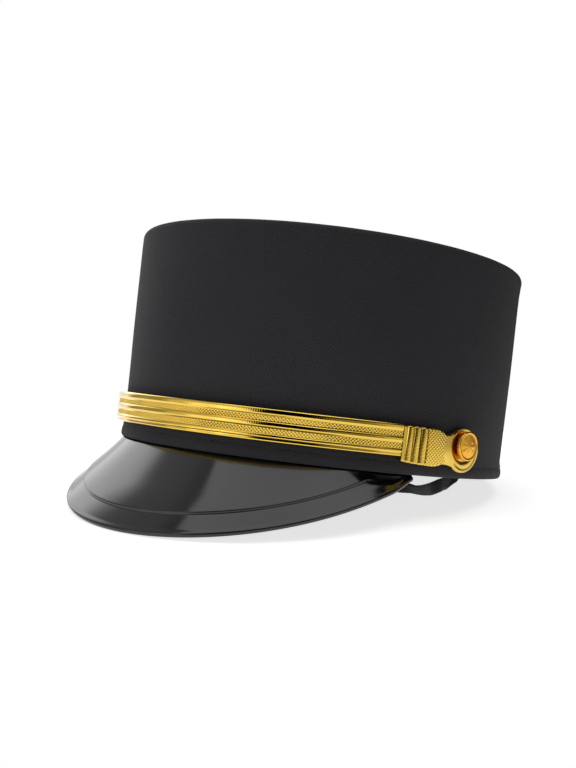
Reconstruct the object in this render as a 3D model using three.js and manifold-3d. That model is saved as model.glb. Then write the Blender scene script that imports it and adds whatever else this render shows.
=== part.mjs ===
// A railroad conductor's cap at rest: a tall flat-topped oval crown of black cloth, a glossy peak
// sewn in under its rim, a moulded gold band across the front with a round tab and a button at
// each side, and a flat black chin elastic that comes out under the rim and lies on the table.
//
// Millimetres. +X is the wearer's left, -Y the front, +Z up. The cap is drawn upright, with its rim
// at z = 0, and then tipped back as it lies, on the lip of its peak and the back of its rim.
import * as THREE from 'three';
import { mergeVertices } from 'three/addons/utils/BufferGeometryUtils.js';
import Module from 'manifold-3d';

const wasm = await Module();
wasm.setup();

const GAP = 0.3;
const OVAL_SIDES = 72;

const CROWN = {
  halfLength: 99.3, halfWidth: 92.8, height: 100.6, wall: 2, flare: 0.014,
  shoulderRadius: 3, shoulderLip: 3.6, hemBulge: 1, hemHeight: 4.2, hemBlend: 2.3,
};
const TOP = { thickness: 1.8, tuckedUnder: 1.4, seamDip: 0.5 };
const PEAK = {
  halfAngle: 71, cutAngle: 67, reach: 47.6, frontSlope: 42.8, endSlope: 44.6, taper: 1.214,
  crowning: 0.016, below: 2, belowFade: 7, flangeTop: 9, flangeThickness: 1.6, thickness: 2,
  ridgeIn: 11.5, ridgeHeight: 0.9, ridgeWidth: 1.3, beadWidth: 1.4, beadHeight: 0.6, lipDepth: 1.2,
  sections: 44,
};
const STRAP = { low: 7.5, high: 21.5, standOff: 1.6, endAngle: 60.85, sections: 52 };
const STRAP_END = { back: 1.3, plate: 2.3, tabAngle: 81, tabHeight: 12.6, tabRadius: 9.85 };
const BUTTON = {
  angle: 80.9, height: 14.8, domeRadius: 6.55, domeRise: 1.2, skirt: 1.4, shankRadius: 1.8,
  holeRadius: 2.2, plateRadius: 5, plateThickness: 1, sides: 24,
};
const ELASTIC = { width: 6, thickness: 1.2, steps: 78 };

// Each row is a place across the band, as a share of its width from the top edge, and how far the
// relief stands there from the band's back.
const STRAP_RELIEF = [
  { across: 0, stands: 1.3 },
  { across: 0.06, stands: 1.7 },
  { across: 0.12, stands: 2.5 },
  { across: 0.18, stands: 1.7 },
  { across: 0.24, stands: 1.7 },
  { across: 0.31, stands: 2 },
  { across: 0.38, stands: 1.6 },
  { across: 0.46, stands: 2.5 },
  { across: 0.54, stands: 1.6 },
  { across: 0.61, stands: 1.7 },
  { across: 0.68, stands: 2 },
  { across: 0.75, stands: 1.6 },
  { across: 0.815, stands: 2.5 },
  { across: 0.88, stands: 1.7 },
  { across: 0.94, stands: 1.9 },
  { across: 1, stands: 1.3 },
];

// Each row is a place along the band's end, in degrees round the crown, with the lowest and highest
// height there and how far it stands out over its plate. The round tab follows these rows.
const STRAP_END_ROWS = [
  { angle: 61.05, low: 5.6, high: 21.3, rib: 0 },
  { angle: 61.9, low: 5.3, high: 21.4, rib: 0.1 },
  { angle: 62.4, low: 5.2, high: 21.4, rib: 0.7 },
  { angle: 63.3, low: 5.1, high: 21.4, rib: 0.7 },
  { angle: 63.85, low: 5, high: 21.4, rib: 0.1 },
  { angle: 64.4, low: 5, high: 21.4, rib: 0.7 },
  { angle: 65.3, low: 4.9, high: 21.4, rib: 0.7 },
  { angle: 65.95, low: 4.9, high: 21.3, rib: 0.1 },
  { angle: 66.5, low: 4.8, high: 21.3, rib: 0.7 },
  { angle: 67.4, low: 4.8, high: 21.3, rib: 0.7 },
  { angle: 68.1, low: 4.7, high: 21.2, rib: 0.1 },
  { angle: 68.8, low: 4.6, high: 21.2, rib: 0.4 },
  { angle: 70.3, low: 4.5, high: 21.2, rib: 0.5 },
  { angle: 71.6, low: 4.7, high: 20.9, rib: 0.5 },
  { angle: 72.7, low: 5.2, high: 20.1, rib: 0.4 },
  { angle: 73.6, low: 5.6, high: 19.3, rib: 0.4 },
  { angle: 74.4, low: 5.7, high: 18.9, rib: 0.3 },
  { angle: 75.4, low: 5.6, high: 19.1, rib: 0.2 },
  { angle: 76.3, low: 5.3, high: 19.7, rib: 0.1 },
];

// The elastic's route down the inside of the wall on the wearer's left: degrees round the crown, the
// height over the rim, how far it has left the wall, and its lean, which is the angle of its width
// from upright: 90 is flat against the wall.
const ELASTIC_WALL_ROWS = [
  { angle: 81.3, height: 17.5, off: 0, lean: 90 },
  { angle: 81.5, height: 12, off: 0, lean: 90 },
  { angle: 84.3, height: 6.5, off: 0.4, lean: 81 },
  { angle: 87.7, height: 1.5, off: 1.2, lean: 65 },
];

// Its route from there over the table, where its middle and its lean are.
const ELASTIC_TABLE_ROWS = [
  { x: 85.4, y: 4.5, z: 14, lean: 45 },
  { x: 80.5, y: 8.6, z: 11.7, lean: 25 },
  { x: 75.5, y: 13.8, z: 10.1, lean: 4 },
  { x: 68.6, y: 15.9, z: 6.7, lean: -15 },
  { x: 62.1, y: 20.7, z: 4.3, lean: -31 },
  { x: 56.2, y: 23.5, z: 3, lean: -39 },
  { x: 50.7, y: 24.3, z: 3.08, lean: -30 },
  { x: 45.6, y: 23, z: 3.13, lean: -14 },
  { x: 40, y: 22, z: 3.1, lean: 0 },
  { x: 35.2, y: 17.3, z: 3.1, lean: 0 },
  { x: 33.5, y: 10.8, z: 3.1, lean: 0 },
  { x: 33.2, y: -5, z: 3.1, lean: 0 },
  { x: 32.5, y: -22, z: 3.1, lean: 0 },
  { x: 28.2, y: -38.2, z: 3.1, lean: 0 },
  { x: 16.3, y: -50, z: 3.1, lean: 0 },
  { x: 0, y: -54.4, z: 3.1, lean: 0 },
];

const radians = THREE.MathUtils.degToRad;
const lerp = THREE.MathUtils.lerp;

// A point on the cap, at an angle round the crown from the front, at a distance out from the
// crown's face along its normal, and at a height over the rim.
function onCap(angle, out, height) {
  const turn = radians(angle);
  const widen = 1 + CROWN.flare * Math.max(height, 0) / CROWN.height;
  const halfWidth = CROWN.halfWidth * widen;
  const halfLength = CROWN.halfLength * widen;
  const normal = new THREE.Vector2(Math.sin(turn) / halfWidth, -Math.cos(turn) / halfLength);
  normal.normalize();
  return new THREE.Vector3(
    halfWidth * Math.sin(turn) + out * normal.x,
    -halfLength * Math.cos(turn) + out * normal.y,
    height,
  );
}

// The way that the crown faces at an angle.
function facing(angle) {
  return onCap(angle, 1, 0).sub(onCap(angle, 0, 0));
}

function oval(out, height) {
  const ring = [];
  for (let side = 0; side < OVAL_SIDES; side += 1) {
    ring.push(onCap(side * 360 / OVAL_SIDES, out, height));
  }
  return ring;
}

// A closed solid through rings of points, all with the same count. A looped one joins its last ring
// to its first, and any other has its two end rings filled.
function solidThrough(rings, looped = false) {
  const count = rings[0].length;
  const points = rings.flat();
  const faces = [];
  const spans = looped ? rings.length : rings.length - 1;
  for (let span = 0; span < spans; span += 1) {
    const here = span * count;
    const next = ((span + 1) % rings.length) * count;
    for (let side = 0; side < count; side += 1) {
      const after = (side + 1) % count;
      faces.push([here + side, next + side, next + after], [here + side, next + after, here + after]);
    }
  }
  if (!looped) {
    const last = (rings.length - 1) * count;
    for (const [a, b, c] of fillRing(rings[0])) {
      faces.push([a, b, c]);
    }
    for (const [a, b, c] of fillRing(rings[rings.length - 1])) {
      faces.push([last + c, last + b, last + a]);
    }
  }
  const geometry = new THREE.BufferGeometry();
  geometry.setAttribute('position', new THREE.Float32BufferAttribute(points.flatMap((p) => p.toArray()), 3));
  geometry.setIndex(faces.flat());
  return facingOut(geometry);
}

// The triangles that fill a flat ring, in the ring's own direction.
function fillRing(ring) {
  const centre = ring.reduce((sum, p) => sum.add(p), new THREE.Vector3()).divideScalar(ring.length);
  const normal = new THREE.Vector3();
  ring.forEach((p, i) => {
    const after = ring[(i + 1) % ring.length];
    normal.add(p.clone().sub(centre).cross(after.clone().sub(centre)));
  });
  normal.normalize();
  const across = ring[1].clone().sub(ring[0]).normalize();
  const up = normal.clone().cross(across);
  const flat = ring.map((p) => new THREE.Vector2(p.dot(across), p.dot(up)));
  return THREE.ShapeUtils.triangulateShape(flat, []);
}

// Turns a closed surface the right way round when its volume comes out negative.
function facingOut(geometry) {
  const points = geometry.getAttribute('position');
  const corners = geometry.getIndex().array;
  const [a, b, c] = [0, 1, 2].map(() => new THREE.Vector3());
  let volume = 0;
  for (let i = 0; i < corners.length; i += 3) {
    a.fromBufferAttribute(points, corners[i]);
    b.fromBufferAttribute(points, corners[i + 1]);
    c.fromBufferAttribute(points, corners[i + 2]);
    volume += a.dot(b.cross(c));
  }
  if (volume < 0) {
    corners.reverse();
  }
  return geometry;
}

function toSolid(geometry) {
  const bare = geometry.clone();
  bare.deleteAttribute('normal');
  bare.deleteAttribute('uv');
  const merged = mergeVertices(bare, 1e-4);
  return new wasm.Manifold(new wasm.Mesh({
    numProp: 3,
    vertProperties: new Float32Array(merged.getAttribute('position').array),
    triVerts: new Uint32Array(merged.getIndex().array),
  }));
}

function toGeometry(solid) {
  const mesh = solid.getMesh();
  const geometry = new THREE.BufferGeometry();
  geometry.setAttribute('position', new THREE.Float32BufferAttribute(mesh.vertProperties, 3));
  geometry.setIndex(Array.from(mesh.triVerts));
  return geometry;
}

// Points along a round corner in the plane of a section.
function arc(out, height, radius, from, to, steps) {
  const points = [];
  for (let step = 0; step <= steps; step += 1) {
    const turn = radians(lerp(from, to, step / steps));
    points.push([out + radius * Math.cos(turn), height + radius * Math.sin(turn)]);
  }
  return points;
}

// A turning that is placed with its axis square to the crown at a button's place.
function atButton(geometry, side) {
  const centre = onCap(side * BUTTON.angle, 0, BUTTON.height);
  const turn = new THREE.Quaternion().setFromUnitVectors(
    new THREE.Vector3(0, 1, 0), facing(side * BUTTON.angle),
  );
  return geometry.clone().applyQuaternion(turn).translate(centre.x, centre.y, centre.z);
}

function buttonDrill(side) {
  const length = 20;
  return toSolid(atButton(new THREE.CylinderGeometry(BUTTON.holeRadius, BUTTON.holeRadius, length, 16), side));
}

// The cloth wall: a hem that bulges over the peak's flange, a wall, and a round shoulder whose lip
// turns in to the flat top's seam. A hole on each side lets a button's shank through.
function crownSide() {
  const { height, wall, shoulderRadius: round, shoulderLip, hemBulge, hemHeight, hemBlend } = CROWN;
  const under = height - wall + 0.2;
  const section = [
    [-wall, 0.4],
    [-wall + 0.4, 0],
    [hemBulge - 0.5, 0],
    [hemBulge, 0.7],
    [hemBulge, hemHeight],
    [0, hemHeight + hemBlend],
    [0, height / 2],
    ...arc(-round, height - round, round, 0, 90, 4),
    [-shoulderLip, height],
    [-shoulderLip, under],
    ...arc(-round, height - round, under - height + round, 90, 0, 2),
  ];
  const cloth = solidThrough(section.map(([out, at]) => oval(out, at)), true);
  const drilled = toSolid(cloth).subtract(buttonDrill(1)).subtract(buttonDrill(-1));
  return toGeometry(drilled);
}

// The flat top: an oval of cloth in the shoulder's lip, with its seam allowance tucked under it.
function crownTop() {
  const { height, wall, shoulderLip } = CROWN;
  const seam = -shoulderLip - GAP;
  const under = height - wall + 0.2 - GAP;
  const levels = [
    [seam - 0.6, height],
    [seam, height - TOP.seamDip],
    [seam, under],
    [seam + TOP.tuckedUnder, under],
    [seam + TOP.tuckedUnder, under - TOP.thickness],
  ];
  return solidThrough(levels.map(([out, at]) => oval(out, at)));
}

// Where the peak leaves its flange at an angle, how far it reaches and how steeply it falls there.
function peakAt(angle) {
  const share = Math.min(Math.abs(angle) / PEAK.halfAngle, 1);
  return {
    root: -PEAK.below * THREE.MathUtils.smoothstep(PEAK.cutAngle - Math.abs(angle), -1, PEAK.belowFade),
    reach: PEAK.reach * Math.cos(share * Math.PI / 2) ** PEAK.taper,
    slope: radians(lerp(PEAK.frontSlope, PEAK.endSlope, share * share)),
  };
}

// A point of the peak's section: a distance down the slope from its root, and a height off it.
function peakPoint({ root, reach, slope }, along, lift) {
  const share = along / reach;
  const raise = lift + PEAK.crowning * reach * 4 * share * (1 - share);
  return [
    -CROWN.wall - GAP + along * Math.cos(slope) + raise * Math.sin(slope),
    root - along * Math.sin(slope) + raise * Math.cos(slope),
  ];
}

// The peak: a flange sewn up inside the rim, a raised panel, a step down to the border, and a bead
// round the lip.
function peak() {
  const rings = [];
  for (let step = 0; step <= PEAK.sections; step += 1) {
    const angle = lerp(-PEAK.cutAngle, PEAK.cutAngle, step / PEAK.sections);
    const here = peakAt(angle);
    const { reach } = here;
    const face = -CROWN.wall - GAP;
    const panelEnd = Math.max(reach - PEAK.ridgeIn, 0.2 * reach);
    const ridgeWidth = Math.min(PEAK.ridgeWidth, 0.3 * reach);
    const bead = Math.min(PEAK.beadWidth, 0.25 * reach);
    const raised = PEAK.ridgeHeight * THREE.MathUtils.smoothstep(reach - PEAK.ridgeIn, 0, 6);
    const section = [
      [face, PEAK.flangeTop],
      peakPoint(here, 0, 0),
      peakPoint(here, 0.1 * panelEnd, raised),
      peakPoint(here, 0.4 * panelEnd, raised),
      peakPoint(here, 0.7 * panelEnd, raised),
      peakPoint(here, panelEnd, raised),
      peakPoint(here, panelEnd + ridgeWidth, 0),
      peakPoint(here, reach - 2 * bead, 0),
      peakPoint(here, reach - bead, PEAK.beadHeight),
      peakPoint(here, reach - 0.4 * bead, PEAK.beadHeight),
      peakPoint(here, reach, 0),
      peakPoint(here, reach, -PEAK.lipDepth),
      peakPoint(here, reach - 0.4 * bead, -PEAK.thickness),
      peakPoint(here, 0.6 * reach, -PEAK.thickness),
      peakPoint(here, 0.25 * reach, -PEAK.thickness),
      [face - PEAK.flangeThickness, here.root - PEAK.thickness],
      [face - PEAK.flangeThickness, PEAK.flangeTop],
    ];
    rings.push(section.map(([out, at]) => onCap(angle, out, at)));
  }
  return solidThrough(rings);
}

// The gold band: half-round ribs and knurled strips in relief, curved round the front.
function frontStrap() {
  const { low, high, standOff, endAngle, sections } = STRAP;
  const rings = [];
  for (let step = 0; step <= sections; step += 1) {
    const angle = lerp(-endAngle, endAngle, step / sections);
    const ring = STRAP_RELIEF.map((row) => (
      onCap(angle, standOff + row.stands, lerp(high, low, row.across))
    ));
    ring.push(onCap(angle, standOff, low), onCap(angle, standOff, high));
    rings.push(ring);
  }
  return solidThrough(rings);
}

// Degrees round the crown for a length along it, near the tab.
function degreesFor(length) {
  const oneDegree = onCap(STRAP_END.tabAngle + 0.5, 0, 0).distanceTo(onCap(STRAP_END.tabAngle - 0.5, 0, 0));
  return length / oneDegree;
}

// The band's end: three ribs, a scaled neck and a round tab, with a hole for the button's shank.
function strapEnd(side) {
  const { back, plate, tabAngle, tabHeight, tabRadius } = STRAP_END;
  const rows = STRAP_END_ROWS.slice();
  const firstTurn = 129;
  const turns = 12;
  for (let step = 0; step <= turns; step += 1) {
    const turn = radians(lerp(firstTurn, 12, step / turns));
    const half = tabRadius * Math.sin(turn);
    rows.push({
      angle: tabAngle + degreesFor(tabRadius * Math.cos(turn)),
      low: tabHeight - half,
      high: tabHeight + half,
      rib: 0,
    });
  }
  const rings = rows.map(({ angle, low, high, rib }) => {
    const front = back + plate + rib;
    const bevel = 0.6;
    const section = [
      [back, low],
      [front - bevel, low],
      [front, low + bevel],
      [front, high - bevel],
      [front - bevel, high],
      [back, high],
    ];
    return section.map(([out, at]) => onCap(side * angle, out, at));
  });
  return toGeometry(toSolid(solidThrough(rings)).subtract(buttonDrill(side)));
}

// The button in one piece: a domed head on the tab, a shank through the cloth, a plate behind it.
function button(side) {
  const seat = STRAP_END.back + STRAP_END.plate + GAP;
  const inside = -CROWN.wall - GAP;
  const { domeRadius, domeRise, skirt, shankRadius, plateRadius, plateThickness } = BUTTON;
  const profile = [
    [0, inside - plateThickness],
    [plateRadius, inside - plateThickness],
    [plateRadius, inside - 0.1],
    [shankRadius, inside],
    [shankRadius, seat],
    [domeRadius - 0.9, seat],
    [domeRadius, seat + 0.5],
    [domeRadius, seat + skirt],
  ];
  const steps = 5;
  for (let step = 1; step <= steps; step += 1) {
    const turn = Math.PI / 2 * step / steps;
    profile.push([domeRadius * Math.cos(turn), seat + skirt + domeRise * Math.sin(turn)]);
  }
  profile[profile.length - 1][0] = 0;
  const turned = new THREE.LatheGeometry(profile.map(([r, y]) => new THREE.Vector2(r, y)), BUTTON.sides);
  return facingOut(toGeometry(toSolid(atButton(turned, side))));
}

// How far the cap tips back to lie on the lip of its peak and the back of its rim.
function restingPitch() {
  const front = peakAt(0);
  const backRim = onCap(180, CROWN.hemBulge - 0.5, 0);
  const lipCorners = [
    peakPoint(front, front.reach, -PEAK.lipDepth),
    peakPoint(front, front.reach - 0.4 * PEAK.beadWidth, -PEAK.thickness),
  ];
  const pitches = lipCorners.map(([out, height]) => {
    const corner = onCap(0, out, height);
    return Math.atan2(backRim.z - corner.z, backRim.y - corner.y);
  });
  return Math.max(...pitches);
}

// The rows of the chin elastic in the table's frame, from the button's plate down the inside of the
// wall, out under the rim, over the table and up to the other side.
function elasticRows(capToTable) {
  const inside = -CROWN.wall - BUTTON.plateThickness - 2 * GAP - ELASTIC.thickness / 2;
  const half = ELASTIC_WALL_ROWS.map(({ angle, height, off, lean }) => ({
    middle: onCap(angle, inside - off, height).applyMatrix4(capToTable), lean,
  }));
  for (const { x, y, z, lean } of ELASTIC_TABLE_ROWS) {
    half.push({ middle: new THREE.Vector3(x, y, z), lean });
  }
  const otherHalf = half.slice(0, -1).map(({ middle, lean }) => ({
    middle: middle.clone().multiply(new THREE.Vector3(-1, 1, 1)), lean,
  }));
  return [...half, ...otherHalf.reverse()];
}

// The chin elastic: a flat band through its rows.
function chinElastic(capToTable) {
  const rows = elasticRows(capToTable);
  const line = new THREE.CatmullRomCurve3(rows.map(({ middle }) => middle));
  const up = new THREE.Vector3(0, 0, 1);
  const rings = [];
  for (let step = 0; step <= ELASTIC.steps; step += 1) {
    const place = line.getUtoTmapping(step / ELASTIC.steps);
    const along = place * (rows.length - 1);
    const row = Math.min(Math.floor(along), rows.length - 2);
    const lean = radians(lerp(rows[row].lean, rows[row + 1].lean, along - row));
    const middle = line.getPoint(place);
    const wallOut = facing(Math.sign(middle.x) * BUTTON.angle);
    const forward = wallOut.cross(up).multiplyScalar(-Math.sign(middle.x)).transformDirection(capToTable);
    const tangent = line.getTangent(place);
    const across = up.clone().multiplyScalar(Math.cos(lean)).addScaledVector(forward, Math.sin(lean));
    across.addScaledVector(tangent, -across.dot(tangent)).setLength(ELASTIC.width / 2);
    const outward = tangent.clone().cross(across).setLength(ELASTIC.thickness / 2);
    rings.push([[1, 1], [-1, 1], [-1, -1], [1, -1]].map(([edge, face]) => (
      middle.clone().addScaledVector(across, edge).addScaledVector(outward, face)
    )));
  }
  return solidThrough(rings);
}

function mesh(name, geometry, colour, roughness, metalness) {
  const piece = new THREE.Mesh(geometry, new THREE.MeshStandardMaterial({ color: colour, roughness, metalness }));
  piece.name = name;
  return piece;
}

const CLOTH = [0x232224, 0.85, 0];
const GLOSSY_BLACK = [0x0d0d0f, 0.15, 0];
const GOLD = [0xd9a62b, 0.25, 1];
const AMBER_GOLD = [0xc7862a, 0.25, 1];
const ELASTIC_BLACK = [0x1a1a1b, 0.9, 0];

const cap = new THREE.Group();
cap.add(mesh('crown_side', crownSide(), ...CLOTH));
cap.add(mesh('crown_top', crownTop(), ...CLOTH));
cap.add(mesh('visor', peak(), ...GLOSSY_BLACK));
cap.add(mesh('front_strap', frontStrap(), ...GOLD));
for (const [name, side] of [['left', 1], ['right', -1]]) {
  cap.add(mesh(`strap_end_${name}`, strapEnd(side), ...GOLD));
  cap.add(mesh(`button_${name}`, button(side), ...AMBER_GOLD));
}
cap.rotation.x = -restingPitch();

const root = new THREE.Group();
root.add(cap);
cap.updateMatrixWorld(true);
const box = new THREE.Box3().setFromObject(cap, true);
cap.position.set(0, -(box.min.y + box.max.y) / 2, -box.min.z);
cap.updateMatrixWorld(true);
root.add(mesh('chin_elastic', chinElastic(cap.matrixWorld), ...ELASTIC_BLACK));

export default root;
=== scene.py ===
"""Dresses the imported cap: black twill crown, glossy peak, gold front band, side buttons, chin elastic."""
import math

import bmesh
import bpy
from bpy.props import FloatProperty, IntProperty, PointerProperty, StringProperty
from mathutils import Matrix, Vector, noise


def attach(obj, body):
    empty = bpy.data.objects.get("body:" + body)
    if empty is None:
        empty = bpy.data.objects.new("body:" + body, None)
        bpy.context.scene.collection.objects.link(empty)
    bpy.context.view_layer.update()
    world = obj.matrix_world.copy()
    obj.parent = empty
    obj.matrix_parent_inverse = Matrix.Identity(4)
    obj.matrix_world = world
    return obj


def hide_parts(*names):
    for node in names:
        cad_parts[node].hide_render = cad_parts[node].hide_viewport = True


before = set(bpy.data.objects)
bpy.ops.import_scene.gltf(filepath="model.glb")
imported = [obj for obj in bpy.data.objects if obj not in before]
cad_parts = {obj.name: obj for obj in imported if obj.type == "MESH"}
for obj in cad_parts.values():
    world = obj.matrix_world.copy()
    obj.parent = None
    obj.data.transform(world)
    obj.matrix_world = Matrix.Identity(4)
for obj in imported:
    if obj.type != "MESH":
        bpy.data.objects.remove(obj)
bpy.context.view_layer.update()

bl_info = {
    "name": "Railroad conductor cap",
    "version": (1, 0, 0),
    "blender": (4, 5, 0),
    "location": "View3D > Sidebar > Cap",
    "description": "Makes the pieces of a tall flat-topped uniform cap, with its finishes and its studio",
    "category": "Add Mesh",
}

MM = 0.001
BODY = "root"
SIDES = (("left", 1), ("right", -1))
UP = Vector((0, 0, 1))

# How the upright cap lies on the table: tipped back on its peak's lip and the back of its rim.
TIPPED_BACK = math.radians(-8.751243375)
LIES_AT = Vector((0.0, 0.010644104, 0.015184055))
TO_TABLE = Matrix.Translation(LIES_AT) @ Matrix.Rotation(TIPPED_BACK, 4, "X")

# The crown's oval: its corners, how much it widens from rim to top, the radius in mm of a circle as
# long as it is, and the radius of its shoulder.
OVAL_SIDES = 360
FLARE = 0.014
MEAN_RADIUS = 96.1
SHOULDER = 3

# The cloth wall's section, from the inside of the rim, round the hem and up to the shoulder:
# distance out from the crown's face and height over the rim, in mm.
HEM_SECTION = [
    (-2.0, 2.5), (-2.0, 1.0), (-1.8, 0.35), (-1.2, 0.03), (-0.3, 0.0), (0.25, 0.08), (0.65, 0.45),
    (0.9, 1.1), (1.02, 2.0), (1.0, 3.0), (0.86, 3.9), (0.62, 4.5), (0.42, 5.0), (0.5, 5.5),
    (0.42, 6.2), (0.2, 7.0), (0.05, 8.0), (0.0, 9.5),
]
WALL_HEIGHTS = (13, 18, 24, 31, 38, 45, 52, 59, 66, 73, 80, 86, 91, 95, 97.6)
INSIDE_HEIGHTS = (90, 80, 70, 60, 50, 40, 30, 22, 14, 9, 5)

# The flat top, in mm: how far out from the crown's face its seam lies, how far in the rings of its
# face and of its underside lie, and its thickness.
TOP_SEAM = -3.9
TOP_RINGS = (9, 13, 18, 25, 33, 42, 52, 62, 72, 81, 88, 91.5)
TOP_UNDERSIDE_RINGS = (91.5, 60, 25)
TOP_THICKNESS = 1.8

# How far the pressed cloth moves, in mm: the crown's slow swells, the short waves of its hem and its
# shoulder, and its back seam, drawn in over so many degrees; the top's swells, sag and puckers.
CROWN_CLOTH = {"swell": 0.5, "hem": 0.3, "shoulder": 0.12, "seam": 0.45, "seam_width": 0.8}
TOP_CLOTH = {"swell": 0.35, "sag": 0.25, "pucker": 0.12}

# The peak's own shape, in mm and degrees round the crown.
PEAK = {
    "half_angle": 71, "cut_angle": 67, "reach": 47.6, "front_slope": 42.8, "end_slope": 44.6,
    "taper": 1.214, "crowning": 0.016, "below": 2, "below_fade": 7, "flange_top": 9,
    "flange_thickness": 1.6, "thickness": 2, "ridge_in": 11.5, "ridge_height": 0.9,
    "ridge_width": 0.9, "lip_radius": 0.9, "bead": 0.22, "face": -2.3, "hollow": 0.9,
    "hollow_reach": 24, "columns": 160,
}

# Across the band from its top edge, as a share of its width, and how far it stands from its back.
BAND_PROFILE = [
    (0.0, 1.0), (0.004, 1.5), (0.015, 1.9), (0.032, 2.18), (0.055, 2.33), (0.085, 2.41), (0.12, 2.43),
    (0.15, 2.4), (0.17, 2.32), (0.188, 2.18), (0.205, 2.0), (0.225, 1.84),
]
BAND_MIDDLE = [
    (0.385, 1.84), (0.397, 2.06), (0.415, 2.28), (0.44, 2.41), (0.47, 2.46), (0.505, 2.45),
    (0.53, 2.38), (0.55, 2.22), (0.566, 2.02), (0.585, 1.84),
]
BAND_LOWER = [
    (0.75, 1.84), (0.762, 2.06), (0.78, 2.28), (0.805, 2.41), (0.835, 2.43), (0.858, 2.34),
    (0.877, 2.14), (0.893, 1.9), (0.915, 1.9), (0.945, 1.98), (0.972, 1.86), (0.99, 1.55), (1.0, 1.0),
]
BAND_BACK = [(1.0, 0.0), (0.66, 0.0), (0.33, 0.0), (0.0, 0.0)]
KNURL_ROWS = 4
KNURLS = ((0.24, 0.375), (0.6, 0.735))
KNURL_LOW = 1.8
KNURL_HIGH = 2.06

# Where the fine ticks show on the band, across it, and on its end, in hundreds of degrees round the
# crown: the place and how strong they are.
BAND_TICKS = ((0.02, 0), (0.04, 1), (0.11, 1), (0.14, 0.1), (0.39, 0), (0.41, 1), (0.47, 1), (0.5, 0.1),
              (0.76, 0), (0.77, 1), (0.82, 1), (0.85, 0.1))
END_TICKS = ((0.0, 0), (61.7 / 100, 0), (61.9 / 100, 1), (67.9 / 100, 1), (68.2 / 100, 0), (1.0, 0))

# The band's end: degrees round the crown, with its lowest and highest height there, in mm.
END_OUTLINE = [
    (61.05, 5.6, 21.1), (61.9, 5.3, 20.95), (62.4, 5.2, 21.15), (63.0, 5.1, 21.2), (63.85, 5.05, 20.9),
    (64.4, 4.95, 21.2), (65.1, 4.85, 21.2), (65.95, 4.8, 20.85), (66.5, 4.7, 21.1), (67.3, 4.6, 21.1),
    (68.1, 4.6, 20.75), (68.8, 4.5, 21.0), (70.3, 4.45, 21.1), (71.3, 4.55, 21.0), (72.2, 4.9, 20.55),
    (72.9, 5.35, 19.95), (73.6, 5.65, 19.3), (74.4, 5.7, 18.9), (75.4, 5.6, 19.1), (76.3, 5.3, 19.7),
]

# The end's back, plate, round tab and mesh, its ribs and its scaled neck, and the side button, in mm
# and in degrees round the crown.
END = {
    "back": 1.3, "plate": 2.3, "tab_angle": 81, "tab_height": 12.6, "tab_radius": 9.85,
    "tab_rim": 0.28, "tab_well": 0.85, "columns": 210, "rows": 90,
}
RIB_SPANS = ((61.9, 63.85), (63.85, 65.95), (65.95, 68.1))
RIB = {"valley": -0.3, "rise": 0.85, "top_rise": 0.45}
NECK = {"from": 68.1, "to": 77.5, "height": 12.7, "scale_pitch": 1.2, "scale_depth": 0.24}
BUTTON = {"angle": 80.9, "height": 14.8, "inside": -2.3, "seat": 3.9, "shank": 1.8, "sides": 96}

# The button's plate inside the wall, as its radius and its place out from the wall's inside, and its
# dome from the seat's edge to the middle, as distances in from its radius and out from its seat.
BUTTON_PLATE = ((0.3, -1.0), (3.6, -1.0), (4.7, -0.9), (5.0, -0.6), (5.0, -0.25), (4.7, -0.05), (1.8, 0))
BUTTON_DOME = (
    (1.4, 0), (0.7, 0.15), (0.2, 0.6), (0, 1.2), (0, 1.7), (0.12, 2.1), (0.4, 2.32), (0.75, 2.3),
    (0.98, 2.08), (1.15, 1.98), (1.4, 1.98), (1.8, 2.02), (2.3, 2.07), (2.8, 2.12), (3.3, 2.17),
    (3.8, 2.21), (4.3, 2.25), (4.8, 2.28), (5.3, 2.3), (5.8, 2.31), (6.2, 2.32),
)
ROSETTE = {"petal": 0.06, "heart": 0.04, "worn": 0.06}

# One stitch of the hem: its radius, its place along the seam and how far its middle stands out, in
# mm. The seam runs so far out from the crown's face and so high over the rim.
STITCH = [(0.08, 0.0, 0.25), (0.15, 0.25, 0.13), (0.18, 0.7, 0.06), (0.19, 1.25, 0.04),
          (0.18, 1.8, 0.06), (0.15, 2.25, 0.13), (0.08, 2.5, 0.25)]
STITCH_START = 0.3
HEM_SEAM = {"out": 0.42, "height": 4.95}

# The chin elastic's route on the wearer's left, in mm in the table's frame, from the button's plate
# down inside the wall, under the rim and over the table to the middle: x, y, z and the lean of its
# width from upright, in degrees.
ELASTIC_ROWS = [
    (87.798, -0.987, 34.681, 90), (87.774, -1.487, 29.193, 90), (87.845, 2.299, 23.045, 81),
    (87.348, 7.133, 17.242, 65), (85.4, 4.5, 14, 45), (80.5, 8.6, 11.7, 25), (75.5, 13.8, 10.1, 4),
    (68.6, 15.9, 6.7, -15), (62.1, 20.7, 4.3, -31), (56.2, 23.5, 3, -39), (50.7, 24.3, 3.08, -30),
    (45.6, 23, 3.13, -14), (40, 22, 3.1, 0), (35.2, 17.3, 3.1, 0), (33.5, 10.8, 3.1, 0),
    (33.2, -5, 3.1, 0), (32.5, -22, 3.1, 0), (28.2, -38.2, 3.1, 0), (16.3, -50, 3.1, 0),
    (0, -54.4, 3.1, 0),
]

# Where the camera stands, in mm, its forward and upward directions, and its lens in mm.
CAMERA_AT = Vector((300.06, -379.12, 97.22))
CAMERA_FORWARD = Vector((-0.6279, 0.7728, -0.0923))
CAMERA_UP = Vector((-0.0732, 0.0594, 0.9955))
CAMERA_LENS = 45.25

# The table's radius and the flat light over the cap, in metres.
TABLE_RADIUS = 0.27
SOFTBOX = {"size": (0.75, 0.7), "at": (0.1, -0.02, 0.72), "brightness": 1.45}

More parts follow.
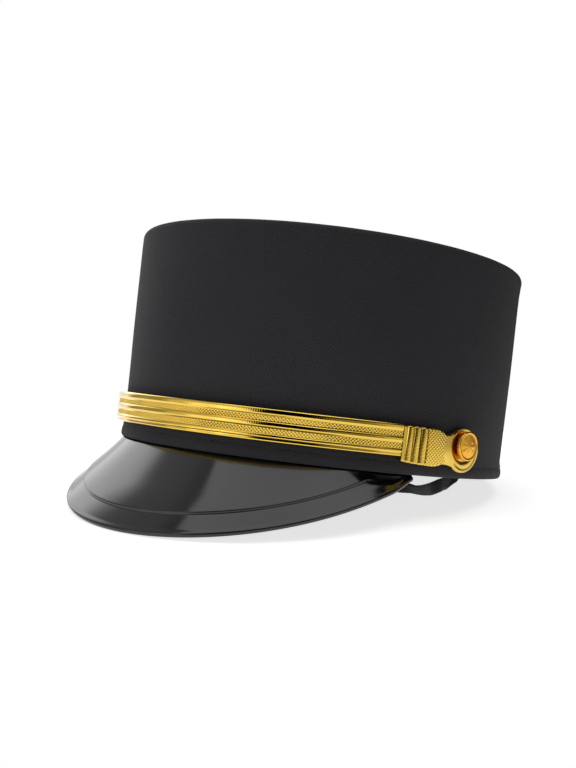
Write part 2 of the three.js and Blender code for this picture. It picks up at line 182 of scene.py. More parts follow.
# The soft light by direction: compass from +Y towards -X and its half width, the lowest and highest
# elevation, all in degrees, and the brightness. A light fades at its sides by so many degrees each
# way, and at its top and foot by so much of the sine of its elevation.
LIGHTS_ROUND = [
    (60, 25, -95, 8, 1.2), (60, 25, 8, 42, 2.4), (60, 25, 42, 64, 0.2),
    (93, 13, -95, 20, 0.4), (93, 13, 20, 64, 0.7), (119, 13, -95, 20, 0.4), (119, 13, 20, 64, 0.4),
    (141, 9, -95, 20, 0.85), (160, 10, -95, 20, 1.5), (178, 8, -95, 20, 1.7),
    (150, 18, 20, 64, 0.8), (178, 10, 20, 64, 0.7),
    (-112, 16, -95, 20, 0.3), (-85, 11, -95, 20, 0.8), (-85, 11, 20, 64, 0.2), (-54, 15, -95, 26, 0.6),
    (4, 180, 64, 95, 0.2),
]
FADE_ROUND = 6
FADE_UPWARD = 0.06


def metres(name, description, default):
    return FloatProperty(name=name, description=description, default=default, unit="LENGTH")


def srgb(name, description, default):
    return StringProperty(name=name, description=description + ", as an sRGB hex", default=default)


class CapSizes(bpy.types.PropertyGroup):
    crown_half_length: metres(
        "Crown half length", "From the middle of the crown to its front at the rim", 0.0993)
    crown_half_width: metres(
        "Crown half width", "From the middle of the crown to its side at the rim", 0.0928)
    crown_height: metres("Crown height", "From the rim to the flat top", 0.1006)
    cloth_thickness: metres("Cloth thickness", "The stiffened wall, with its hidden layers", 0.002)
    twill_pitch: metres("Twill pitch", "From one diagonal rib of the twill to the next", 0.0009)
    band_low: metres("Band's lower edge", "Its height over the rim", 0.0075)
    band_high: metres("Band's upper edge", "Its height over the rim", 0.0215)
    band_stand_off: metres("Band's stand-off", "From the crown's face to the band's back", 0.0016)
    band_end_angle: FloatProperty(
        name="Band's end", description="How far round the crown the band goes on each side",
        default=math.radians(60.85), subtype="ANGLE")
    knurl_pitch: metres("Knurl pitch", "From one diamond of the knurled strips to the next", 0.0015)
    button_radius: metres("Button radius", "Half the width of a side button", 0.00655)
    button_petals: IntProperty(
        name="Button petals", description="Petals of the plain rosette on each button", default=8)
    elastic_width: metres("Elastic width", "The width of the flat chin elastic", 0.006)
    elastic_thickness: metres("Elastic thickness", "The thickness of the chin elastic", 0.0012)
    stitch_pitch: metres("Stitch pitch", "From one stitch of the hem to the next", 0.0031)


class CapColours(bpy.types.PropertyGroup):
    cloth: srgb("Cloth", "The twill's yarn", "#38373A")
    # The grooves' colour is painted shade: the same black yarn, darker between the twill's ribs where shade
    # would fall.
    cloth_groove_shade: srgb("Cloth's grooves", "Between the twill's ribs", "#272528")
    visor: srgb("Peak", "The moulded vinyl", "#0B0B0D")
    gold: srgb("Gold", "The band and its ends", "#E6C04A")
    amber: srgb("Amber gold", "The side buttons", "#F8BE48")
    elastic: srgb("Elastic", "The woven elastic", "#19191B")
    thread: srgb("Thread", "The hem's stitches", "#171618")
    floor: srgb("Floor", "The white table", "#DCDCDC")


def sizes():
    return bpy.context.scene.cap_sizes


def colours():
    return bpy.context.scene.cap_colours


def linear(hex_colour):
    """An sRGB hex colour as the linear numbers that a shader takes."""
    parts = [int(hex_colour[i:i + 2], 16) / 255 for i in (1, 3, 5)]
    return (*(p / 12.92 if p <= 0.04045 else ((p + 0.055) / 1.055) ** 2.4 for p in parts), 1.0)


def smooth_step(value, low, high):
    share = min(max((value - low) / (high - low), 0.0), 1.0)
    return share * share * (3 - 2 * share)


def oval(out, height):
    """The half width, half length and height in mm of the crown's oval, moved out by a distance."""
    size = sizes()
    widen = 1 + FLARE * max(height, 0) / (size.crown_height / MM)
    return size.crown_half_width / MM * widen + out, size.crown_half_length / MM * widen + out, height


def on_cap(angle, out, height):
    """A point of the upright cap in metres, from degrees round it from the front and mm."""
    turn = math.radians(angle)
    half_width, half_length, _ = oval(0, height)
    normal = Vector((math.sin(turn) / half_width, -math.cos(turn) / half_length, 0)).normalized()
    face = Vector((half_width * math.sin(turn), -half_length * math.cos(turn), height))
    return (face + normal * out) * MM


def facing(angle):
    return (on_cap(angle, 1, 0) - on_cap(angle, 0, 0)).normalized()


def route_round(last, steps, out, height):
    """Points round the crown to the same angle on each side, and the length of the line they make."""
    points = [on_cap(-last + 2 * last * step / steps, out, height) for step in range(steps + 1)]
    return points, sum((b - a).length for a, b in zip(points, points[1:]))


# Modelling, as by hand

def clear_selection():
    if bpy.context.object and bpy.context.object.mode != "OBJECT":
        bpy.ops.object.mode_set(mode="OBJECT")
    bpy.ops.object.select_all(action="DESELECT")


def pick(piece):
    """Selects the piece alone."""
    clear_selection()
    piece.select_set(True)
    bpy.context.view_layer.objects.active = piece


def start_edit(piece):
    pick(piece)
    bpy.ops.object.mode_set(mode="EDIT")
    bpy.ops.mesh.select_mode(type="VERT")
    bpy.ops.mesh.select_all(action="DESELECT")


def select_where(piece, test):
    """Selects the vertices of the piece in edit mode whose place passes the test."""
    mesh = bmesh.from_edit_mesh(piece.data)
    for vertex in mesh.verts:
        vertex.select_set(test(vertex.co))
    mesh.select_flush(True)
    bmesh.update_edit_mesh(piece.data)


def select_open_edges():
    bpy.ops.mesh.select_all(action="DESELECT")
    bpy.ops.mesh.select_non_manifold(extend=False, use_wire=False, use_boundary=True,
                                     use_multi_face=False, use_non_contiguous=False, use_verts=False)


def ring_piece(name, sides, rings):
    """A new piece in edit mode, drawn out through rings: half width, half length, height in mm."""
    clear_selection()
    bpy.ops.mesh.primitive_circle_add(vertices=sides, radius=1, fill_type="NOTHING")
    piece = bpy.context.object
    piece.name = piece.data.name = name
    bpy.ops.object.mode_set(mode="EDIT")
    bpy.ops.mesh.select_mode(type="VERT")
    bpy.ops.mesh.select_all(action="SELECT")
    half_width, half_length, height = rings[0]
    bpy.ops.transform.resize(value=(half_width * MM, half_length * MM, 1), center_override=(0, 0, 0))
    bpy.ops.transform.translate(value=(0, 0, height * MM))
    for now, after in zip(rings, rings[1:]):
        bpy.ops.mesh.extrude_region_move(
            TRANSFORM_OT_translate={"value": (0, 0, (after[2] - now[2]) * MM)})
        bpy.ops.transform.resize(value=(after[0] / now[0], after[1] / now[1], 1),
                                 center_override=(0, 0, 0))
    return piece


def close_both_ends():
    """Draws the last ring, which is selected, together to a point, and then the first."""
    bpy.ops.mesh.merge(type="CENTER")
    select_open_edges()
    bpy.ops.mesh.merge(type="CENTER")


def finish_mesh(piece, smooth_below):
    """Merges doubles, turns the faces outwards and shades the piece smooth, save at sharp edges."""
    start_edit(piece)
    bpy.ops.mesh.select_all(action="SELECT")
    bpy.ops.mesh.remove_doubles(threshold=1e-6)
    bpy.ops.mesh.normals_make_consistent(inside=False)
    bpy.ops.object.mode_set(mode="OBJECT")
    bpy.ops.object.shade_smooth_by_angle(angle=math.radians(smooth_below))


def move_mesh(piece, matrix):
    """Moves the piece and leaves its place in its mesh."""
    pick(piece)
    piece.matrix_world = matrix
    bpy.ops.object.transform_apply(location=True, rotation=True, scale=True)


def apply_modifiers(piece):
    pick(piece)
    for modifier in list(piece.modifiers):
        bpy.ops.object.modifier_apply(modifier=modifier.name)


def repeat(piece, count, pitch, merge_within=None):
    """Repeats the piece along X, with its copies joined where they meet if a distance is given."""
    row = piece.modifiers.new("row", "ARRAY")
    row.count = count
    row.use_relative_offset = False
    row.use_constant_offset = True
    row.constant_offset_displace = (pitch, 0, 0)
    if merge_within:
        row.use_merge_vertices = True
        row.merge_threshold = merge_within
    apply_modifiers(piece)


def bend_along(piece, name, points, resolution):
    """Bends the straight piece along a flat smooth curve through the points."""
    data = bpy.data.curves.new(name, "CURVE")
    data.dimensions = "2D"
    data.resolution_u = resolution
    spline = data.splines.new("BEZIER")
    spline.bezier_points.add(len(points) - 1)
    for point, place in zip(spline.bezier_points, points):
        point.co = (place.x, place.y, 0)
        point.handle_left_type = point.handle_right_type = "AUTO"
    guide = bpy.data.objects.new(name, data)
    bpy.context.scene.collection.objects.link(guide)
    piece.modifiers.new("bend", "CURVE").object = guide
    apply_modifiers(piece)
    bpy.data.objects.remove(guide)


def grid_piece(name, columns, rows, place):
    """A grid whose every vertex is put where place says, from its shares along and across."""
    clear_selection()
    bpy.ops.mesh.primitive_grid_add(x_subdivisions=columns, y_subdivisions=rows, size=2)
    piece = bpy.context.object
    piece.name = piece.data.name = name
    for vertex in piece.data.vertices:
        vertex.co = place((vertex.co.x + 1) / 2, (vertex.co.y + 1) / 2)
    return piece


def write_map(piece, name, where):
    """A UV map in metres, from each corner's place and its face's middle."""
    layers = piece.data.uv_layers
    while layers:
        layers.remove(layers[0])
    layer = layers.new(name=name)
    for face in piece.data.polygons:
        for loop in face.loop_indices:
            corner = piece.data.vertices[piece.data.loops[loop].vertex_index].co
            layer.data[loop].uv = where(corner, face.center)


def dress(piece, material, slot, *nodes):
    """Gives a finished piece its material, its body and the CAD nodes it stands for; its slot is not used.
    """
    piece.data.materials.clear()
    piece.data.materials.append(material)
    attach(piece, BODY)
    if nodes:
        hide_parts(*nodes)


# Finishes

def add_node(tree, kind, settings=None, values=None, links=None):
    """The outputs of a new node, with its own settings, its inputs' values and its inputs' links."""
    node = tree.nodes.new("ShaderNode" + kind)
    for name, value in (settings or {}).items():
        setattr(node, name, value)
    for name, value in (values or {}).items():
        node.inputs[name].default_value = value
    for name, socket in (links or {}).items():
        tree.links.new(socket, node.inputs[name])
    return node.outputs


def new_finish(name):
    material = bpy.data.materials.new(name)
    material.use_nodes = True
    material.node_tree.nodes.clear()
    return material, material.node_tree


def close_finish(tree, values, links):
    surface = add_node(tree, "BsdfPrincipled", {}, values, links)["BSDF"]
    add_node(tree, "OutputMaterial", {}, {}, {"Surface": surface})


def wave_scale(pitch):
    """The scale at which a wave texture on a map in metres repeats at a pitch in metres."""
    return 2 * math.pi / 20 / pitch


def woven_twill():
    # Black polyester-wool twill, woven with steep diagonal ribs and pressed over a stiffener: matt,
    # with a faint diagonal line and a soft edge of light where it turns away.
    material, tree = new_finish("woven_twill")
    pitch = sizes().twill_pitch
    weave = add_node(tree, "UVMap", {"uv_map": "weave"})["UV"]
    turned = add_node(tree, "Mapping", {}, {"Rotation": (0, 0, math.radians(50))},
                      {"Vector": weave})["Vector"]
    ribs = add_node(tree, "TexWave", {"bands_direction": "X"},
                    {"Scale": wave_scale(pitch), "Distortion": 0.25, "Detail": 1.0, "Detail Scale": 3.0},
                    {"Vector": turned})["Fac"]
    yarns = add_node(tree, "TexWave", {"bands_direction": "Y"},
                     {"Scale": wave_scale(pitch * 0.5), "Distortion": 0.6, "Detail": 1.0},
                     {"Vector": turned})["Fac"]
    place = add_node(tree, "TexCoord")["Object"]
    slubs = add_node(tree, "TexNoise", {}, {"Scale": 900.0, "Detail": 3.0}, {"Vector": place})["Fac"]
    cloudy = add_node(tree, "TexNoise", {}, {"Scale": 28.0, "Detail": 3.0}, {"Vector": place})["Fac"]
    yarn_height = add_node(tree, "Math", {"operation": "MULTIPLY_ADD"}, {1: 0.35},
                           {0: yarns, 2: ribs})[0]
    height = add_node(tree, "Math", {"operation": "MULTIPLY_ADD"}, {1: 0.35},
                      {0: slubs, 2: yarn_height})[0]
    bump = add_node(tree, "Bump", {}, {"Strength": 0.55, "Distance": 0.00016},
                    {"Height": height})["Normal"]
    # The twill's grooves are painted darker than its ribs, following the same waves as the bump: painted
    # shade in the grooves.
    shade = add_node(tree, "Mix", {"data_type": "RGBA"},
                     {6: linear(colours().cloth_groove_shade), 7: linear(colours().cloth)}, {0: ribs})[2]
    uneven = add_node(tree, "MapRange", {}, {"To Min": 0.86, "To Max": 1.14}, {"Value": cloudy})[0]
    colour = add_node(tree, "VectorMath", {"operation": "SCALE"}, {}, {0: shade, 3: uneven})[0]
    close_finish(tree, {"Roughness": 0.85, "Specular IOR Level": 0.2, "Sheen Weight": 0.06,
                        "Sheen Roughness": 0.4}, {"Base Color": colour, "Normal": bump})
    return material


def moulded_vinyl():
    # Black PVC sheet, pressed hot over a polished mould: a deep black under a wet gloss, with slow
    # waves in its reflections.
    material, tree = new_finish("moulded_vinyl")
    place = add_node(tree, "TexCoord")["Object"]
    waves = add_node(tree, "TexNoise", {}, {"Scale": 38.0, "Detail": 1.0}, {"Vector": place})["Fac"]
    peel = add_node(tree, "TexNoise", {}, {"Scale": 700.0, "Detail": 2.0}, {"Vector": place})["Fac"]
    height = add_node(tree, "Math", {"operation": "MULTIPLY_ADD"}, {1: 0.02}, {0: peel, 2: waves})[0]
    bump = add_node(tree, "Bump", {}, {"Strength": 0.35, "Distance": 0.0004},
                    {"Height": height})["Normal"]
    handled = add_node(tree, "TexNoise", {}, {"Scale": 55.0, "Detail": 5.0}, {"Vector": place})["Fac"]
    roughness = add_node(tree, "MapRange", {}, {"To Min": 0.07, "To Max": 0.15}, {"Value": handled})[0]
    close_finish(tree, {"Base Color": linear(colours().visor), "IOR": 1.53},
                 {"Roughness": roughness, "Normal": bump})
    return material


def metallised_gold(name, ticks, rough):
    # ABS, moulded with its ribs and knurls and metallised bright gold under a clear lacquer: a mirror
    # that is a little soft, with fine ticks across its ribs that grey its highlights. The ticks have a
    # pitch and a direction on its flat map, and their stops say how strong they are along one axis of
    # that map, at shares of a width.
    material, tree = new_finish(name)
    place = add_node(tree, "TexCoord")["Object"]
    flat = add_node(tree, "UVMap", {"uv_map": "flat"})["UV"]
    lines = add_node(tree, "TexWave", {"bands_direction": ticks["direction"]},
                     {"Scale": wave_scale(ticks["pitch"])}, {"Vector": flat})["Fac"]
    split = add_node(tree, "SeparateXYZ", {}, {}, {"Vector": flat})
    across = add_node(tree, "Math", {"operation": "DIVIDE"}, {1: ticks["width"]},
                      {0: split[ticks["axis"]]})[0]
    strength = add_node(tree, "ValToRGB", {}, {}, {"Fac": across})["Color"]
    stops = strength.node.color_ramp.elements
    for _ in range(len(ticks["stops"]) - 2):
        stops.new(0.5)
    for stop, (position, value) in zip(stops, ticks["stops"]):
        stop.position = position
        stop.color = (value, value, value, 1)
    ticked = add_node(tree, "Math", {"operation": "MULTIPLY"}, {}, {0: lines, 1: strength})[0]
    grain = add_node(tree, "TexNoise", {}, {"Scale": 420.0, "Detail": 2.0}, {"Vector": place})["Fac"]
    height = add_node(tree, "Math", {"operation": "MULTIPLY_ADD"}, {1: 0.16},
                      {0: grain, 2: ticked})[0]
    bump = add_node(tree, "Bump", {}, {"Strength": 0.2, "Distance": 0.00008},
                    {"Height": height})["Normal"]
    handled = add_node(tree, "TexNoise", {}, {"Scale": 90.0, "Detail": 4.0}, {"Vector": place})["Fac"]
    roughness = add_node(tree, "MapRange", {}, {"To Min": rough[0], "To Max": rough[1]},
                         {"Value": handled})[0]
    close_finish(tree, {"Base Color": linear(colours().gold), "Metallic": 1.0, "Coat Weight": 0.5,
                        "Coat Roughness": 0.06}, {"Roughness": roughness, "Normal": bump})
    return material


def lacquered_brass():
    # Stamped brass under an amber lacquer: warmer and deeper than the band, and a little cloudy
    # here and there all over it.
    material, tree = new_finish("lacquered_brass")
    place = add_node(tree, "TexCoord")["Object"]
    cloudy = add_node(tree, "TexNoise", {}, {"Scale": 260.0, "Detail": 4.0}, {"Vector": place})["Fac"]
    roughness = add_node(tree, "MapRange", {}, {"To Min": 0.16, "To Max": 0.36}, {"Value": cloudy})[0]
    shade = add_node(tree, "Mix", {"data_type": "RGBA"},
                     {6: linear("#E7A238"), 7: linear(colours().amber)}, {0: cloudy})[2]
    bump = add_node(tree, "Bump", {}, {"Strength": 0.25, "Distance": 0.0001},
                    {"Height": cloudy})["Normal"]
    close_finish(tree, {"Metallic": 1.0},
                 {"Base Color": shade, "Roughness": roughness, "Normal": bump})
    return material


def woven_elastic():
    # Polyester braid over rubber cores, woven flat: dull, with ribs that run along it and a finer
    # weave across them.
    material, tree = new_finish("woven_elastic")
    along = add_node(tree, "UVMap", {"uv_map": "band"})["UV"]
    cores = add_node(tree, "TexWave", {"bands_direction": "Y"}, {"Scale": wave_scale(0.0008)},
                     {"Vector": along})["Fac"]
    picks = add_node(tree, "TexWave", {"bands_direction": "X"},
                     {"Scale": wave_scale(0.0007), "Distortion": 0.4}, {"Vector": along})["Fac"]
    height = add_node(tree, "Math", {"operation": "MULTIPLY_ADD"}, {1: 0.5}, {0: picks, 2: cores})[0]
    bump = add_node(tree, "Bump", {}, {"Strength": 0.7, "Distance": 0.0002},
                    {"Height": height})["Normal"]
    # The weave is painted darker between its picks, where its bump is lowest: painted shade in the weave.
    shade = add_node(tree, "Mix", {"data_type": "RGBA"},
                     {6: linear("#0E0E10"), 7: linear(colours().elastic)}, {0: picks})[2]
    close_finish(tree, {"Roughness": 0.78, "Specular IOR Level": 0.3, "Sheen Weight": 0.15},
                 {"Base Color": shade, "Normal": bump})
    return material


def spun_thread():
    # Black polyester sewing thread, spun and pressed flat: it hardly shows against the cloth.
    material, tree = new_finish("spun_thread")
    place = add_node(tree, "TexCoord")["Object"]
    fibres = add_node(tree, "TexNoise", {}, {"Scale": 2400.0, "Detail": 2.0}, {"Vector": place})["Fac"]
    bump = add_node(tree, "Bump", {}, {"Strength": 0.4, "Distance": 0.00008},
                    {"Height": fibres})["Normal"]
    shade = add_node(tree, "Mix", {"data_type": "RGBA"},
                     {6: linear("#121113"), 7: linear(colours().thread)}, {0: fibres})[2]
    close_finish(tree, {"Roughness": 0.75, "Specular IOR Level": 0.25},
                 {"Base Color": shade, "Normal": bump})
    return material


# Pieces

class CAP_OT_camera(bpy.types.Operator):
    """Adds the camera, where the photograph was taken from"""
    bl_idname = "conductor_cap.camera"
    bl_label = "Camera"

    def execute(self, context):
        data = bpy.data.cameras.new("camera")
        data.lens = CAMERA_LENS
        data.sensor_width = 36
        camera = bpy.data.objects.new("camera", data)
        context.scene.collection.objects.link(camera)
        back = -CAMERA_FORWARD.normalized()
        right = CAMERA_UP.cross(back).normalized()
        turned = Matrix((right, back.cross(right), back)).transposed().to_4x4()
        camera.matrix_world = Matrix.Translation(CAMERA_AT * MM) @ turned
        context.scene.camera = camera
        return {"FINISHED"}


class CAP_OT_crown_side(bpy.types.Operator):
    """Makes the crown's cloth wall, with its turned hem, its soft shoulder and its back seam"""
    bl_idname = "conductor_cap.crown_side"
    bl_label = "Crown wall"

    def execute(self, context):
        wall = sizes().cloth_thickness / MM
        height = sizes().crown_height / MM
        section = HEM_SECTION + [(0.0, at) for at in WALL_HEIGHTS]
        for step in range(1, 9):
            turn = math.radians(90 * step / 8)
            section.append((-SHOULDER + SHOULDER * math.cos(turn),
                            height - SHOULDER + SHOULDER * math.sin(turn)))
        section += [(-3.45, height - 0.08), (-3.65, height - 0.4), (-3.6, height - wall + 0.3),
                    (-3.0, height - wall + 0.1), (-2.2, height - 2.6), (-1.95, height - 4)]
        section += [(-wall, at) for at in INSIDE_HEIGHTS]
        piece = ring_piece("crown_wall", OVAL_SIDES, [oval(out, at) for out, at in section])
        select_open_edges()
        bpy.ops.mesh.bridge_edge_loops()
        finish_mesh(piece, 60)
        self.soften(piece)
        write_map(piece, "weave", self.weave)
        move_mesh(piece, TO_TABLE)
        dress(piece, woven_twill(), "crown_cloth", "crown_side")
        return {"FINISHED"}

    def soften(self, piece):
        """Lets the pressed cloth swell and dip a little, puckers its hem and draws in its back seam."""
        cloth = CROWN_CLOTH
        for vertex in piece.data.vertices:
            place = vertex.co / MM
            outward = Vector((place.x, place.y, 0)).normalized()
            angle = math.degrees(math.atan2(place.x, -place.y))
            slow = noise.noise(Vector((place.x * 0.022, place.y * 0.022, place.z * 0.016 + 3)))
            body = smooth_step(place.z, 26, 50) * (1 - smooth_step(place.z, 90, 99))
            quick = noise.noise(Vector((place.x * 0.23, place.y * 0.23, place.z * 0.12)))
            hem = smooth_step(place.z, 1.5, 4.2) * (1 - smooth_step(place.z, 5.6, 8.5))
            top = smooth_step(place.z, 93, 97) * noise.noise(outward * 9)
            seam = math.exp(-((180 - abs(angle)) / cloth["seam_width"]) ** 2)
            moved = (cloth["swell"] * slow * body + cloth["hem"] * quick * hem
                     + cloth["shoulder"] * top - cloth["seam"] * seam)
            vertex.co += outward * moved * MM

    def weave(self, corner, middle):
        """Round the crown and up its face, over the shoulder and on."""
        place = corner / MM
        half_width, half_length, _ = oval(0, place.z)
        turn, middle_turn = (math.degrees(math.atan2(at.x / half_width, -at.y / half_length))
                             for at in (corner, middle))
        if turn - middle_turn > 180:
            turn -= 360
        if middle_turn - turn > 180:
            turn += 360
        radius = math.hypot(place.x, place.y)
        rim = math.hypot(half_width * math.sin(math.radians(turn)),
                         half_length * math.cos(math.radians(turn)))
        inset = max(rim - radius, 0) if place.z > 90 else 0
        return (math.radians(turn) * MEAN_RADIUS * MM, (place.z + inset) * MM)


class CAP_OT_crown_top(bpy.types.Operator):
    """Makes the flat top, an oval of cloth sewn in inside the shoulder"""
    bl_idname = "conductor_cap.crown_top"
    bl_label = "Crown top"

    def execute(self, context):
        height = sizes().crown_height / MM
        upper = height - sizes().cloth_thickness / MM - 0.1
        lower = upper - TOP_THICKNESS
        seam = TOP_SEAM
        section = [(-inset, lower) for inset in TOP_UNDERSIDE_RINGS]
        section += [(seam + 1.2, lower), (seam + 1.4, upper - 1.6), (seam + 1.4, upper - 0.2),
                    (seam + 1.2, upper), (seam + 0.05, upper), (seam, upper + 0.3), (seam, height - 0.9),
                    (seam - 0.12, height - 0.45), (seam - 0.5, height - 0.14), (seam - 1.2, height),
                    (seam - 2.4, height)]
        section += [(-inset, height) for inset in TOP_RINGS]
        piece = ring_piece("crown_flat_top", OVAL_SIDES // 2, [oval(out, at) for out, at in section])
        close_both_ends()
        finish_mesh(piece, 60)
        self.soften(piece, height)
        write_map(piece, "weave", lambda corner, middle: (corner.x, corner.y))
        move_mesh(piece, TO_TABLE)
        dress(piece, woven_twill(), "crown_cloth", "crown_top")
        return {"FINISHED"}

    def soften(self, piece, height):
        """Lets the cloth sink a little between its seams, with short puckers along them."""
        half_width, half_length, _ = oval(0, 0)
        for vertex in piece.data.vertices:
            place = vertex.co / MM
            if place.z < height - 0.6:
                continue
            across = math.hypot(place.x / half_width, place.y / half_length)
            slow = noise.noise(Vector((place.x * 0.03, place.y * 0.03, 7)))
            outward = Vector((place.x, place.y, 0)).normalized() if across > 0.01 else Vector()
            puckers = noise.noise(outward * 14) * smooth_step(across, 0.8, 0.95)
            sunk = smooth_step(1 - across, 0.03, 0.3)
            vertex.co.z += (TOP_CLOTH["swell"] * slow * sunk - TOP_CLOTH["sag"] * sunk
                            + TOP_CLOTH["pucker"] * puckers) * MM


def peak_at(angle):
    """The peak's root height, reach and slope at degrees round the crown."""
    share = min(abs(angle) / PEAK["half_angle"], 1)
    root = -PEAK["below"] * smooth_step(PEAK["cut_angle"] - abs(angle), -1, PEAK["below_fade"])
    reach = PEAK["reach"] * math.cos(share * math.pi / 2) ** PEAK["taper"]
    slope = math.radians(PEAK["front_slope"] + (PEAK["end_slope"] - PEAK["front_slope"]) * share ** 2)
    return root, reach, slope


def peak_point(here, along, lift):
    root, reach, slope = here
    share = along / reach
    raised = lift + PEAK["crowning"] * reach * 4 * share * (1 - share)
    return (PEAK["face"] + along * math.cos(slope) + raised * math.sin(slope),
            root - along * math.sin(slope) + raised * math.cos(slope))


def peak_section(angle):
    """The closed section of the peak, from the top of its flange down, out, round its lip and back."""
    here = peak_at(angle)
    root, reach, _ = here
    face, inner = PEAK["face"], PEAK["face"] - PEAK["flange_thickness"]
    flange_top = PEAK["flange_top"]
    lip = min(PEAK["lip_radius"], 0.3 * reach)
    ridge_at = max(reach - PEAK["ridge_in"], 0.2 * reach)
    ridge_width = min(PEAK["ridge_width"], 0.3 * reach)
    raised = PEAK["ridge_height"] * smooth_step(reach - PEAK["ridge_in"], 0, 6)
    bead = PEAK["bead"] * min(reach / 12, 1)
    flat_end = reach - 2 * lip
    hollow, hollow_ends = -PEAK["hollow"] * root, min(PEAK["hollow_reach"], 0.6 * reach)

    def top(along):
        panel = 1 - smooth_step(along, ridge_at, ridge_at + ridge_width)
        border = smooth_step(along, flat_end - 0.1, flat_end + 0.5)
        return raised * panel + bead * border + hollow * max(1 - along / hollow_ends, 0) ** 2

    section = [((face + inner) / 2, flange_top), (face - 0.3, flange_top), (face, flange_top - 0.3)]
    section += [(face, 0.3 + (flange_top - 0.3) * share) for share in (0.75, 0.5, 0.25, 0.1)]
    first_along = min(0.35, 0.1 * reach)
    first = peak_point(here, first_along, top(first_along))
    section += [(face + (first[0] - face) * share, 0.3 + (first[1] - 0.3) * share ** 0.5)
                for share in (0.05, 0.25, 0.5, 0.75, 0.95)]
    # The raised panel, the step down at its edge, and the flat border.
    panel_end = ridge_at - 0.3
    border_start = min(ridge_at + ridge_width + 0.3, flat_end)
    stations = [first_along + (panel_end - first_along) * (step / 30) ** 1.3 for step in range(31)]
    stations += [min(panel_end + (ridge_width + 0.6) * step / 9, flat_end) for step in range(1, 10)]
    stations += [border_start + (reach - lip - border_start) * step / 8 for step in range(1, 9)]
    section += [peak_point(here, along, top(along)) for along in stations]
    # The lip is half round, from the bead on top to the underside.
    high, low = top(reach - lip), -PEAK["thickness"]
    middle, half = (high + low) / 2, (high - low) / 2
    for step in range(1, 12):
        turn = math.radians(90 - 180 * step / 12)
        section.append(peak_point(here, reach - lip + lip * math.cos(turn), middle + half * math.sin(turn)))
    section += [peak_point(here, (reach - lip) * share, low)
                for share in (0.985, 0.9, 0.75, 0.6, 0.45, 0.3, 0.18, 0.1)]
    section += [(inner + 0.4, root + low + 0.05), (inner, root + low + 0.5)]
    section += [(inner, root + (flange_top - root) * share) for share in (0.1, 0.4, 0.7)]
    section += [(inner, flange_top - 0.3), (inner + 0.3, flange_top), section[0]]
    return section


class CAP_OT_visor(bpy.types.Operator):
    """Makes the glossy peak, with its raised panel, its flat border and its round lip"""
    bl_idname = "conductor_cap.visor"
    bl_label = "Peak"

    def execute(self, context):
        columns, cut = PEAK["columns"], PEAK["cut_angle"]
        angles = [-cut + 2 * cut * column / columns for column in range(columns + 1)]
        sections = [peak_section(angle) for angle in angles]
        rows = len(sections[0]) - 1

        def place(along, across):
            column, row = round(along * columns), round(across * rows)
            return on_cap(angles[column], *sections[column][row])

        piece = grid_piece("peak", columns, rows, place)
        start_edit(piece)
        bpy.ops.mesh.select_all(action="SELECT")
        bpy.ops.mesh.remove_doubles(threshold=1e-7)
        for side in (1, -1):
            self.close_end(piece, side)
        finish_mesh(piece, 50)
        move_mesh(piece, TO_TABLE)
        dress(piece, moulded_vinyl(), "visor_vinyl", "visor")
        return {"FINISHED"}

    def close_end(self, piece, side):
        """Fills the open section at one end of the peak."""
        select_open_edges()
        bpy.ops.mesh.select_mode(type="VERT")
        mesh = bmesh.from_edit_mesh(piece.data)
        for vertex in mesh.verts:
            if vertex.select and vertex.co.x * side < 0:
                vertex.select_set(False)
        mesh.select_flush(False)
        bmesh.update_edit_mesh(piece.data)
        bpy.ops.mesh.edge_face_add()


